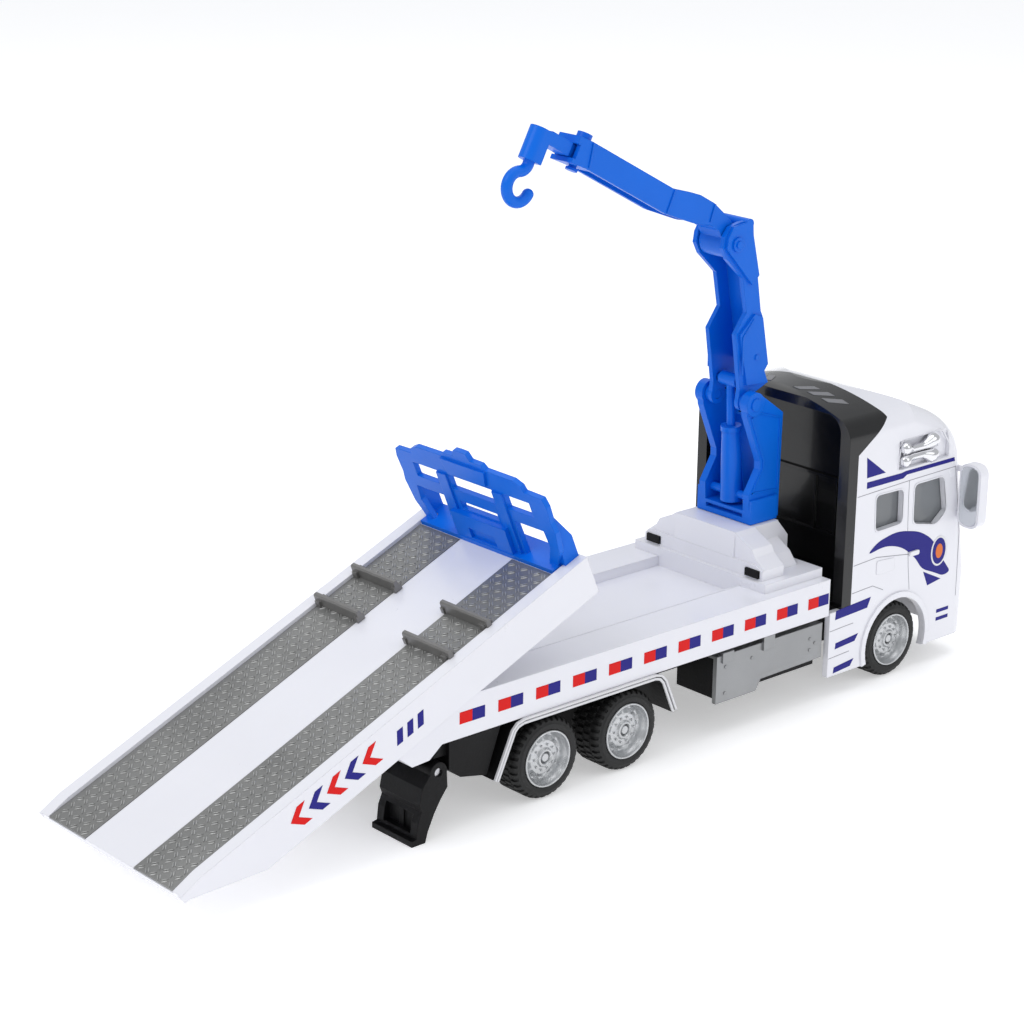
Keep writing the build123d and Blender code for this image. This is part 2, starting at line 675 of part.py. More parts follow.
def cab_shell():
    shell = cab_block(0) - cab_block(cab_wall)
    inner_half = cab_half_w - cab_wall
    shell -= block(80, 97.0, -inner_half, inner_half, 0, cab_floor_z)
    shell -= back_region()
    shell -= block(80, shell_rear_x, -40, 40, cab_floor_z - 0.01, 80)
    # side fairings reach back past the housing
    fairing = block(90.0, 100.5, inner_half, cab_half_w, cab_bottom, cab_floor_z)
    shell += both_sides(fairing)
    shell -= window_cutters()
    shell -= rod_y(front_axle_x, tyre_r, -30, 30, arch_r)
    # recess for the twin horns
    shell -= both_sides(block(112.0, 130.6, 23.9, 28, 53.9, 61.0))
    # grille and lamp openings
    shell -= block(139.0, 150, -12.6, 12.6, 12.0, 32.6)
    shell -= both_sides(block(138.0, 150, 15.0, 21.0, 12.6, 18.4))
    return shell


def cab_back():
    """Black rear housing: rim and rear roof outside, and a deep recess with a ribbed back wall."""
    housing = cab_block(0) & back_region()
    housing += block(shell_rear_x - 0.2, housing_end_x, -22.8, 22.8, cab_floor_z, 66.0)
    recess = block(80, back_wall_x, -recess_half_w, recess_half_w, cab_floor_z + 1.4, recess_top)
    long_top = [e for e in recess.edges() if (e @ 0.5).Z > recess_top - 0.1 and abs((e @ 0.5).Y) > 1]
    housing -= fillet(long_top, 4.5)
    # raised ribs and panels on the rear wall
    for z in (36.0, 50.4):
        housing += block(back_wall_x - 0.7, back_wall_x + 0.4, -20.4, 20.4, z, z + 0.7)
    for y in (-13.6, -6.8, 6.8, 13.6):
        housing += block(back_wall_x - 0.5, back_wall_x + 0.4, y - 0.4, y + 0.4, 36.4, 50.6)
    housing += rod_x(back_wall_x - 0.6, back_wall_x + 0.4, -17.0, 57.6, 2.2)
    return housing


def cab_glazing():
    band = block(housing_end_x + 0.1, 150, -30, 30, 35.0, 54.2)
    return (cab_block(cab_wall + glazing_gap) - cab_block(cab_wall + glazing_gap + 0.8)) & band


def cab_interior():
    floor = block(107.5, 136.0, -21.0, 21.0, 19.8, 21.2)
    for y in (-11.0, 11.0):
        floor += block(109.0, 119.0, y - 6.5, y + 6.5, 21.2, 27.0)
        floor += slab([(107.6, 27.0), (106.9, 45.0), (110.4, 45.0), (111.8, 27.0)], y - 6.5, y + 6.5)
    dash = slab([(131.5, 21.2), (129.4, 32.0), (131.4, 35.6), (137.2, 34.6), (136.0, 21.2)], -20.4, 20.4)
    floor += dash
    wheel_plane = Plane(origin=(127.6, 11.0, 34.0), z_dir=(-0.75, 0, 0.66))
    floor += wheel_plane * (Torus(3.3, 0.5))
    floor += wheel_plane * Cylinder(0.8, 7.0, align=(Align.CENTER, Align.CENTER, Align.MAX))
    floor += wheel_plane * Box(6.4, 0.9, 0.6)
    return floor


def grille():
    """Frame with cross bars that fills the cab's front opening."""
    shape = block(138.6, 140.4, -12.4, 12.4, 12.2, 32.4)
    for k in range(6):
        z = 14.0 + 3.2 * k
        shape += block(140.3, 141.5, -11.6, 11.6, z, z + 1.3)
    return shape


def headlight():
    return block(138.6, 141.6, 15.2, 20.8, 12.8, 18.2) + block(137.6, 138.7, 14.6, 21.4, 12.4, 18.6)


def horn():
    """Two short trumpets side by side in the left roof recess."""
    y = 25.05
    shape = None
    for z in (55.6, 58.6):
        pipe = rod_x(114.6, 126.6, y, z, 0.85)
        pipe += Pos(114.6, y, z) * Sphere(1.05)
        pipe += Pos(126.6, y, z) * Sphere(1.1)
        shape = pipe if shape is None else shape + pipe
    shape += block(113.8, 115.6, 23.95, 25.2, 55.6, 58.6)
    shape += block(125.6, 127.4, 23.95, 25.2, 55.6, 58.6)
    return shape


def mirror_arm():
    """Door mirror: rounded shell on two short arms, left side."""
    outline = RectangleRounded(6.6, 16.4, 2.6)
    shell = Plane(origin=(134.6, 29.0, 43.6), x_dir=(0, 1, 0), z_dir=(1, 0, 0)) * outline
    body = extrude(shell, 3.0, dir=(1, 0, 0))
    for z in (38.0, 49.6):
        body += block(135.4, 136.6, 22.6, 27.0, z - 0.6, z + 0.6)
    return body - whole_cab


# ---------------------------------------------------------------- write every piece

wheel_sets = (
    ("rear", 0.0, rear_tyre_w),
    ("middle", middle_axle_x, rear_tyre_w),
    ("front", front_axle_x, front_tyre_w),
)
for label, x, width in wheel_sets:
    write(f"{label}_axle", axle(x))
    for side_name, side in (("left", 1), ("right", -1)):
        write(f"{label}_rim_{side_name}", rim(x, width, side))
        write(f"{label}_tyre_{side_name}", tyre(x, width, side))

write("chassis", chassis())
write("chassis_screws", chassis_screws())
write("leg_pins", leg_pins())
write("tray", tray())
write("carriage", carriage())
write("bed", bed())
write("headboard", headboard())
write("headboard_pins", headboard_pins())

stop_places = {"upper": 89.7, "lower": 78.3}
for side_name, side in (("left", 1), ("right", -1)):
    write(f"tread_strip_{side_name}", tread_strip(side))
    write(f"leg_{side_name}", leg(side))
    for stop_name, s in stop_places.items():
        write(f"wheel_stop_{stop_name}_{side_name}", wheel_stop(s, side))

paired = {
    "fender": fender(),
    "side_box": side_box(),
    "side_box_cover": side_box_cover(),
    "headlight": headlight(),
    "horn": horn(),
    "mirror": mirror_arm(),
}
for name, shape in paired.items():
    write(f"{name}_left", shape)
    write(f"{name}_right", mirrored(shape))

write("crane_column", crane_column())
write("slew_pin", slew_pin())
write("column_studs", column_studs())
write("cylinder_barrel", cylinder_barrel())
write("cylinder_rod", cylinder_rod())
write("crane_arm", crane_arm())
write("elbow_pin", elbow_pin())
write("jib", jib())
write("hook_pin", hook_pin())
write("hook", hook())

write("cab_shell", cab_shell())
write("cab_back", cab_back())
write("cab_glazing", cab_glazing())
write("cab_interior", cab_interior())
write("grille", grille())
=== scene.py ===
import json
import math

import bmesh
import bpy
from mathutils import Matrix, Vector


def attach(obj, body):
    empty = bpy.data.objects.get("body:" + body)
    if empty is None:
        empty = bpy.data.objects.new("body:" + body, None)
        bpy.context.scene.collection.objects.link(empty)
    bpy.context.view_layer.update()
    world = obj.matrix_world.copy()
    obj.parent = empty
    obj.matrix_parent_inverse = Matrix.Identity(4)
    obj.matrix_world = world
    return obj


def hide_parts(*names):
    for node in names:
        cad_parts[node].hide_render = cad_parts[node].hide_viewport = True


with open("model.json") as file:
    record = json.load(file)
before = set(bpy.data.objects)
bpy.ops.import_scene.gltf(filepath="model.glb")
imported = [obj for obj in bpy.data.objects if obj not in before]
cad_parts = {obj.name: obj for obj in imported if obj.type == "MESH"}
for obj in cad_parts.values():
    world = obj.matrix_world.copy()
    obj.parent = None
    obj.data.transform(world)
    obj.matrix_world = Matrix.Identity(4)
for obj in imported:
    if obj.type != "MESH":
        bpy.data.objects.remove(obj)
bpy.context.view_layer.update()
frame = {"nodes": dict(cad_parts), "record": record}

# The layout below is in millimetres with x = 0 at the rear axle, as the CAD draws it.
# place() moves a point into the frame, in metres.
ORIGIN_X = 22.03
TILT = math.radians(23.17)
BED_TIP = (-98.6, 8.1)
SIDES = (("left", 1), ("right", -1))

# ---- CAD sizes that the added pieces sit on ----
TYRE_R = 9.5
FRONT_AXLE_X = 114.3
ARCH_R = 11.2
WHEEL_FACE = 24.1
TRAY_SIDE = 24.6
SKIRT_SIDE = 25.8
CAB_SIDE = 24.85
DECAL = 0.05


def place(x, y, z):
    return Vector(((x - ORIGIN_X) / 1000, y / 1000, z / 1000))


def bed_xz(s, n):
    """A point on the bed's own plane, as the lorry's x and z."""
    x = BED_TIP[0] + s * math.cos(TILT) - n * math.sin(TILT)
    z = BED_TIP[1] + s * math.sin(TILT) + n * math.cos(TILT)
    return x, z


def bed_point(s, y, n):
    x, z = bed_xz(s, n)
    return (x, y, z)


# ------------------------------------------------------------------ materials

def set_input(shader, name, value):
    if name in shader.inputs:
        shader.inputs[name].default_value = value


def surface(name, color, rough, metallic=0.0, coat=0.0, grain=(0.0, 300.0), mottle=0.03,
            rough_spread=0.06, sss=0.0, edge=0.0002, transmission=0.0, ior=1.46, specular=0.5):
    """Moulded or sprayed finish: colour and roughness drift a little, with a fine grain and soft edges."""
    mat = bpy.data.materials.new(name)
    mat.use_nodes = True
    nodes, links = mat.node_tree.nodes, mat.node_tree.links
    shader = nodes["Principled BSDF"]
    coords = nodes.new("ShaderNodeTexCoord")

    def noise(scale, detail=3.0, roughness=0.55):
        n = nodes.new("ShaderNodeTexNoise")
        n.inputs["Scale"].default_value = scale
        n.inputs["Detail"].default_value = detail
        n.inputs["Roughness"].default_value = roughness
        links.new(coords.outputs["Object"], n.inputs["Vector"])
        return n

    def ramp(source, low, high):
        r = nodes.new("ShaderNodeMapRange")
        r.inputs["From Min"].default_value = 0.3
        r.inputs["From Max"].default_value = 0.7
        r.inputs["To Min"].default_value = low
        r.inputs["To Max"].default_value = high
        links.new(source, r.inputs["Value"])
        return r.outputs["Result"]

    drift = noise(38.0)
    colour = nodes.new("ShaderNodeMix")
    colour.data_type = "RGBA"
    colour.inputs["A"].default_value = tuple(c * (1 - mottle) for c in color) + (1,)
    colour.inputs["B"].default_value = tuple(min(1, c * (1 + mottle)) for c in color) + (1,)
    links.new(ramp(drift.outputs["Fac"], 0.0, 1.0), colour.inputs["Factor"])
    links.new(colour.outputs["Result"], shader.inputs["Base Color"])

    handling = noise(90.0, 5.0, 0.65)
    low, high = max(0.02, rough - rough_spread), min(1.0, rough + rough_spread)
    links.new(ramp(handling.outputs["Fac"], low, high), shader.inputs["Roughness"])

    soft = nodes.new("ShaderNodeBevel")
    soft.samples = 4
    soft.inputs["Radius"].default_value = edge
    height, scale = grain
    bump = nodes.new("ShaderNodeBump")
    bump.inputs["Distance"].default_value = 0.0001
    bump.inputs["Strength"].default_value = height
    fine = noise(scale, 4.0, 0.6)
    links.new(fine.outputs["Fac"], bump.inputs["Height"])
    links.new(soft.outputs["Normal"], bump.inputs["Normal"])
    links.new(bump.outputs["Normal"], shader.inputs["Normal"])

    set_input(shader, "Metallic", metallic)
    set_input(shader, "Coat Weight", coat)
    set_input(shader, "Coat Roughness", 0.06)
    set_input(shader, "IOR", ior)
    set_input(shader, "Specular IOR Level", specular)
    set_input(shader, "Transmission Weight", transmission)
    if sss:
        set_input(shader, "Subsurface Weight", sss)
        set_input(shader, "Subsurface Radius", (0.0012, 0.0012, 0.0014))
    return mat


WHITE = (0.83, 0.83, 0.88)
BLUE = (0.001, 0.140, 0.72)
MATS = {
    "white_body": surface("white_enamel", WHITE, 0.22, coat=0.7, grain=(0.10, 260), mottle=0.012),
    "white_plastic": surface("white_moulded", WHITE, 0.33, coat=0.15, grain=(0.16, 700),
                 mottle=0.014, sss=0.04),
    "black_plastic": surface("black_satin", (0.005, 0.005, 0.0055), 0.42, grain=(0.45, 1500),
                 mottle=0.2, specular=0.18),
    "black_gloss": surface("black_gloss", (0.005, 0.005, 0.0055), 0.22, coat=0.2,
                 grain=(0.18, 420), mottle=0.15, specular=0.4),
    "blue_plastic": surface("blue_moulded", BLUE, 0.34, grain=(0.20, 520), mottle=0.05, specular=0.25),
    "tread_grey": surface("chequer_plate", (0.25, 0.25, 0.245), 0.42, metallic=0.5,
                 grain=(0.7, 2200), mottle=0.16),
    "stop_grey": surface("stop_grey", (0.21, 0.205, 0.20), 0.34, metallic=0.5, grain=(0.4, 900),
                 mottle=0.12),
    "silver_plastic": surface("silver_sprayed", (0.56, 0.57, 0.58), 0.28, metallic=0.85,
                 grain=(0.35, 2600), mottle=0.07),
    "chrome": surface("plated_chrome", (0.78, 0.78, 0.80), 0.10, metallic=1.0, grain=(0.06, 300),
                 mottle=0.02),
    "tyre": surface("tyre_rubber", (0.012, 0.012, 0.012), 0.62, grain=(0.8, 1700), mottle=0.25),
    "steel": surface("bright_steel", (0.5, 0.5, 0.52), 0.3, metallic=1.0, grain=(0.3, 1500), mottle=0.05),
    "window": surface("smoked_glazing", (0.36, 0.38, 0.40), 0.06, grain=(0.05, 200), mottle=0.02,
                 transmission=0.55),
    "lamp": surface("lamp_lens", (0.85, 0.87, 0.9), 0.08, coat=0.5, grain=(0.25, 700), mottle=0.02,
                 transmission=0.6),
    "decal_red": surface("print_red", (0.72, 0.004, 0.003), 0.34, grain=(0.1, 800), mottle=0.04,
                 specular=0.2),
    "decal_blue": surface("print_blue", (0.014, 0.012, 0.22), 0.34, grain=(0.1, 800), mottle=0.05,
                 specular=0.2),
    "decal_white": surface("print_white", (0.80, 0.80, 0.82), 0.32, grain=(0.1, 800), mottle=0.02),
    "decal_grey": surface("print_grey", (0.20, 0.20, 0.21), 0.40, grain=(0.1, 800), mottle=0.05),
    "seam": surface("seam_shadow", (0.33, 0.33, 0.37), 0.6, grain=(0.2, 800), mottle=0.05),
    "orange": surface("print_orange", (0.75, 0.16, 0.01), 0.32, grain=(0.1, 800), mottle=0.05),
    "box_silver": surface("box_silver", (0.30, 0.305, 0.31), 0.34, metallic=0.8,
                 grain=(0.35, 2600), mottle=0.07),
    # the bars' finish is the plate's grey made lighter: a painted highlight on the raised bars
    "chequer_bar_painted_highlight": surface("chequer_bar_painted_highlight", (0.50, 0.50, 0.49), 0.34, metallic=0.6,
                 grain=(0.5, 2200), mottle=0.1),
    "mirror_face": surface("mirror_face", (0.62, 0.64, 0.67), 0.12, metallic=0.85,
                 grain=(0.05, 300), mottle=0.02),
    "white_trim": surface("white_trim", (0.72, 0.72, 0.74), 0.35, grain=(0.2, 700), mottle=0.03),
}

slot_of = {row["node"]: row["material_slot"] for row in frame["record"]["subparts"]}
for node, obj in frame["nodes"].items():
    obj.data.materials.clear()
    finish = "box_silver" if node.startswith("side_box_cover") else slot_of[node]
    obj.data.materials.append(MATS[finish])


# ------------------------------------------------------------------ mesh helpers

def piece(name, verts, faces, body, slot, finish=None, smooth=False):
    """A mesh from millimetre points, riding on a CAD body."""
    mesh = bpy.data.meshes.new(name)
    mesh.from_pydata([place(*v) for v in verts], [], faces)
    bm = bmesh.new()
    bm.from_mesh(mesh)
    bmesh.ops.recalc_face_normals(bm, faces=bm.faces)
    bm.to_mesh(mesh)
    bm.free()
    if smooth:
        mesh.shade_smooth()
        mesh.set_sharp_from_angle(angle=math.radians(38))
    mesh.materials.append(MATS[finish or slot])
    obj = bpy.data.objects.new(name, mesh)
    bpy.context.scene.collection.objects.link(obj)
    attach(obj, body)
    return obj


class Shape:
    """Collects closed solids into one mesh."""

    def __init__(self):
        self.verts = []
        self.faces = []

    def prism(self, near, far):
        """Closed solid between two outlines with the same number of points."""
        base, count = len(self.verts), len(near)
        self.verts += list(near) + list(far)
        self.faces.append(tuple(range(base, base + count)))
        self.faces.append(tuple(range(base + count, base + 2 * count)))
        for i in range(count):
            j = (i + 1) % count
            self.faces.append((base + i, base + j, base + count + j, base + count + i))

    def side(self, outline, y0, y1):
        """Plate with its outline in x and z."""
        self.prism([(x, y0, z) for x, z in outline], [(x, y1, z) for x, z in outline])

    def on_skirt(self, outline, y0, y1):
        """Plate with its outline in the bed's s and n."""
        self.prism([bed_point(s, y0, n) for s, n in outline], [bed_point(s, y1, n) for s, n in outline])

    def box(self, x0, x1, y0, y1, z0, z1):
        self.side([(x0, z0), (x1, z0), (x1, z1), (x0, z1)], y0, y1)

    def band(self, path, offset0, offset1, y0, y1):
        """Strip that follows an open x, z path between two offsets from it."""
        inner, outer = offset_path(path, offset0), offset_path(path, offset1)
        for i in range(len(path) - 1):
            self.side([inner[i], inner[i + 1], outer[i + 1], outer[i]], y0, y1)

    def cone(self, x, z, r0, r1, y0, y1, steps):
        """Tapered boss along Y, from radius r0 at y0 to r1 at y1."""
        turns = [2 * math.pi * i / steps for i in range(steps)]
        self.prism([(x + r0 * math.cos(a), y0, z + r0 * math.sin(a)) for a in turns],
                   [(x + r1 * math.cos(a), y1, z + r1 * math.sin(a)) for a in turns])

    def make(self, name, body, slot, finish=None, smooth=False):
        return piece(name, self.verts, self.faces, body, slot, finish, smooth)


def offset_path(path, distance):
    """Points moved to the left of the way the path runs."""
    moved = []
    for i, (x, z) in enumerate(path):
        ax, az = path[max(i - 1, 0)]
        bx, bz = path[min(i + 1, len(path) - 1)]
        length = math.hypot(bx - ax, bz - az)
        moved.append((x - (bz - az) / length * distance, z + (bx - ax) / length * distance))
    return moved


def revolve_y(x, profile, side, steps, radius_at=None):
    """Closed ring about a wheel axle. profile holds (radius, depth in from the wheel's face)."""
    verts, faces = [], []
    rows = len(profile)
    for i, angle in enumerate(steps):
        for j, (r, depth) in enumerate(profile):
            if radius_at:
                r, depth = radius_at(i, j, r, depth)
            y = side * (WHEEL_FACE - depth)
            verts.append((x + r * math.cos(angle), y, TYRE_R + r * math.sin(angle)))
    for i in range(len(steps)):
        k = (i + 1) % len(steps)
        for j in range(rows):
            m = (j + 1) % rows
            faces.append((i * rows + j, i * rows + m, k * rows + m, k * rows + j))
    return verts, faces


# ------------------------------------------------------------------ wheels

BLOCKS = 34
RIM_STEPS = 96
NUTS = 10
NUT_CIRCLE_R = 2.95
TURN = 2 * math.pi


def tyre_mesh(name, x, width, side, body):
    """Tyre with staggered shoulder blocks and two grooves round the tread."""
    phases = (0.0, 0.48, 0.56, 0.92)
    steps = [TURN * (k + f) / BLOCKS for k in range(BLOCKS) for f in phases]
    middle = width / 2
    outer_half = [
        (6.15, 1.25, 0), (6.5, 0.62, 0), (6.75, 0.28, 0), (7.3, 0.16, 0), (8.0, 0.22, 0), (8.15, 0.36, 0),
        (8.7, 0.5, 0), (9.05, 0.72, 1), (9.36, 1.1, 1), (9.5, 1.6, 1), (9.5, 2.5, 1), (9.1, 2.55, 0),
        (9.1, 2.95, 0), (9.5, 3.0, 2), (9.5, middle - 0.2, 2), (9.15, middle - 0.15, 0),
    ]
    rows = outer_half + [(r, width - d, kind and 3 - kind) for r, d, kind in reversed(outer_half)]
    rows = [(r, min(d, width - 0.16), kind) for r, d, kind in rows]
    kinds = [kind for _, _, kind in rows]

    def radius_at(i, j, r, depth):
        notch = (i % 4) >= 2
        if kinds[j] == 1 and notch:
            return r - 0.42, depth
        if kinds[j] == 2 and not notch:
            return r - 0.3, depth
        return r, depth

    verts, faces = revolve_y(x, [(r, d) for r, d, _ in rows], side, steps, radius_at)
    return piece(name, verts, faces, body, "tyre", smooth=True)


def rim_mesh(name, x, width, side, body):
    """Pressed rim: rolled lip, stepped barrel, vent ring and a flat nut face."""
    profile = [
        (6.55, 0.5), (6.58, 0.15), (6.45, 0.0), (6.2, 0.02), (6.05, 0.3), (5.95, 0.9), (5.7, 1.15),
        (5.55, 1.9), (5.3, 2.35), (4.95, 2.4), (4.75, 2.15), (4.25, 1.9), (3.9, 1.62), (3.6, 1.55),
        (2.3, 1.5), (2.1, 1.3), (1.95, 0.95), (1.55, 0.85), (1.4, 1.05), (1.3, 1.3), (1.3, width),
        (2.6, width), (2.6, 4.6), (5.4, 4.6), (5.4, width - 0.6), (6.1, width - 0.6), (6.1, 1.4),
    ]
    steps = [TURN * i / RIM_STEPS for i in range(RIM_STEPS)]

    def radius_at(i, j, r, depth):
        if j in (9, 10, 11) and (i % 8) in (2, 3, 4, 5, 6):
            return r, depth + (0.25, 0.65, 0.45)[j - 9]
        return r, depth

    verts, faces = revolve_y(x, profile, side, steps, radius_at)
    shape = Shape()
    shape.verts, shape.faces = verts, faces
    for k in range(NUTS):
        angle = TURN * k / NUTS
        cx = x + NUT_CIRCLE_R * math.cos(angle)
        cz = TYRE_R + NUT_CIRCLE_R * math.sin(angle)
        shape.cone(cx, cz, 0.33, 0.24, side * (WHEEL_FACE - 1.6), side * (WHEEL_FACE - 1.12), 6)
    shape.cone(x, TYRE_R, 1.32, 0.9, side * (WHEEL_FACE - 2.1), side * (WHEEL_FACE - 1.02), 24)
    return shape.make(name, body, "silver_plastic", smooth=True)


for label, x, width in (("rear", 0.0, 10.0), ("middle", 24.2, 10.0), ("front", FRONT_AXLE_X, 8.0)):
    for side_name, side in SIDES:
        body = f"{label}_wheels"
        tyre = tyre_mesh(f"{label}_tyre_tread_{side_name}", x, width, side, body)
        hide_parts(f"{label}_tyre_{side_name}")
        rim = rim_mesh(f"{label}_rim_face_{side_name}", x, width, side, body)
        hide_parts(f"{label}_rim_{side_name}")

# ------------------------------------------------------------------ chequer strips

STRIP_LEN = 109.4
TREAD_PITCH = 2.05
BAR_LEN = 1.75
BAR_W = 0.5


def chequer(side_name, side):
    """Raised lens-shaped bars in pairs that turn with every square of the plate."""
    shape = Shape()
    columns = int(STRIP_LEN / TREAD_PITCH)
    rows = 6
    y_first = 10.05
    for i in range(columns):
        for j in range(rows):
            s = 1.5 + TREAD_PITCH * i
            y = side * (y_first + TREAD_PITCH * j + 0.25)
            if y * side > 21.9:
                continue
            turn = math.radians(45 if (i + j) % 2 else -45)
            for shift in (-0.33, 0.33):
                ring = []
                for a, b in ((-1, 0), (-0.5, -1), (0.5, -1), (1, 0), (0.5, 1), (-0.5, 1)):
                    u, v = a * BAR_LEN / 2, b * BAR_W / 4 + shift
                    ring.append((s + u * math.cos(turn) - v * math.sin(turn),
                                 y + u * math.sin(turn) + v * math.cos(turn)))
                top = [(s + (p - s) * 0.72, y + (q - y) * 0.9) for p, q in ring]
                shape.prism([bed_point(p, q, 0.08) for p, q in ring],
                            [bed_point(p, q, 0.24) for p, q in top])
    # the raised bars get the lighter grey finish, a painted highlight where they catch the light
    return shape.make(f"chequer_bars_{side_name}", "bed", "tread_grey", "chequer_bar_painted_highlight")


for side_name, side in SIDES:
    chequer(side_name, side)

# ------------------------------------------------------------------ printed marks on the tray and bed

MARK_FIRST = -26.2
MARK_PITCH = 10.85
MARK_LEN = 7.1
MARK_LOW = 24.9
MARK_TOP = 27.6
MARKS = 11
CHEVRONS = 5
for side_name, side in SIDES:
    red, blue = Shape(), Shape()
    for k in range(MARKS):
        x = MARK_FIRST + MARK_PITCH * k
        middle = x + MARK_LEN / 2
        red.box(x, middle, side * TRAY_SIDE, side * (TRAY_SIDE + DECAL), MARK_LOW, MARK_TOP)
        blue.box(middle, x + MARK_LEN, side * TRAY_SIDE, side * (TRAY_SIDE + DECAL), MARK_LOW, MARK_TOP)
    red.make(f"tray_marks_red_{side_name}", "truck", "white_plastic", "decal_red")
    blue.make(f"tray_marks_blue_{side_name}", "truck", "white_plastic", "decal_blue")

    red, blue = Shape(), Shape()
    y0, y1 = side * SKIRT_SIDE, side * (SKIRT_SIDE + DECAL)
    for k in range(CHEVRONS):
        s = 27.9 + 5.0 * k
        target = blue if k % 2 else red
        target.on_skirt([(s, -3.3), (s + 2.7, -0.9), (s + 4.9, -0.9), (s + 2.2, -3.3)], y0, y1)
        target.on_skirt([(s, -3.3), (s + 2.2, -3.3), (s + 4.9, -5.8), (s + 2.7, -5.8)], y0, y1)
    for k in range(3):
        s = 56.9 + 3.0 * k
        blue.on_skirt([(s, -5.6), (s + 1.7, -5.6), (s + 2.9, -2.5), (s + 1.2, -2.5)], y0, y1)
    red.make(f"skirt_marks_red_{side_name}", "bed", "white_plastic", "decal_red")
    blue.make(f"skirt_marks_blue_{side_name}", "bed", "white_plastic", "decal_blue")

# ------------------------------------------------------------------ cab marks and trim


def disc(cx, cz, rx, rz, count=28):
    turns = [TURN * i / count for i in range(count)]
    return [(cx + rx * math.cos(a), cz + rz * math.sin(a)) for a in turns]


def rounded(points, radius, count=5):
    """An outline with its corners rounded."""
    result = []
    total = len(points)
    for i, (x, z) in enumerate(points):
        before, after = points[i - 1], points[(i + 1) % total]
        corner = Vector((x, z))
        a = Vector(before) - corner
        b = Vector(after) - corner
        cut = min(radius, a.length * 0.45, b.length * 0.45)
        start, end = corner + a.normalized() * cut, corner + b.normalized() * cut
        for k in range(count + 1):
            t = k / count
            p = start * (1 - t) ** 2 + corner * 2 * t * (1 - t) + end * t ** 2
            result.append((p.x, p.y))
    return result


def ring_around(shape, outline, grow, y0, y1):
    """Raised frame round an outline."""
    cx = sum(p[0] for p in outline) / len(outline)
    cz = sum(p[1] for p in outline) / len(outline)
    outer = []
    for x, z in outline:
        d = math.hypot(x - cx, z - cz)
        outer.append((x + (x - cx) / d * grow, z + (z - cz) / d * grow))
    for i in range(len(outline)):
        j = (i + 1) % len(outline)
        shape.side([outline[i], outline[j], outer[j], outer[i]], y0, y1)


ROOF_TOP = 72.95
CROWN_R = 60.0


def crown_z(y):
    """Height of the crowned roof at a distance from its middle line."""
    return ROOF_TOP - CROWN_R + math.sqrt(CROWN_R ** 2 - y ** 2)


REAR_WINDOW = [(104.4, 48.9), (114.5, 48.7), (114.7, 40.0), (104.8, 39.7)]
DOOR_WINDOW = [(118.6, 48.9), (129.6, 48.9), (131.4, 39.8), (127.6, 36.9), (118.8, 38.9)]

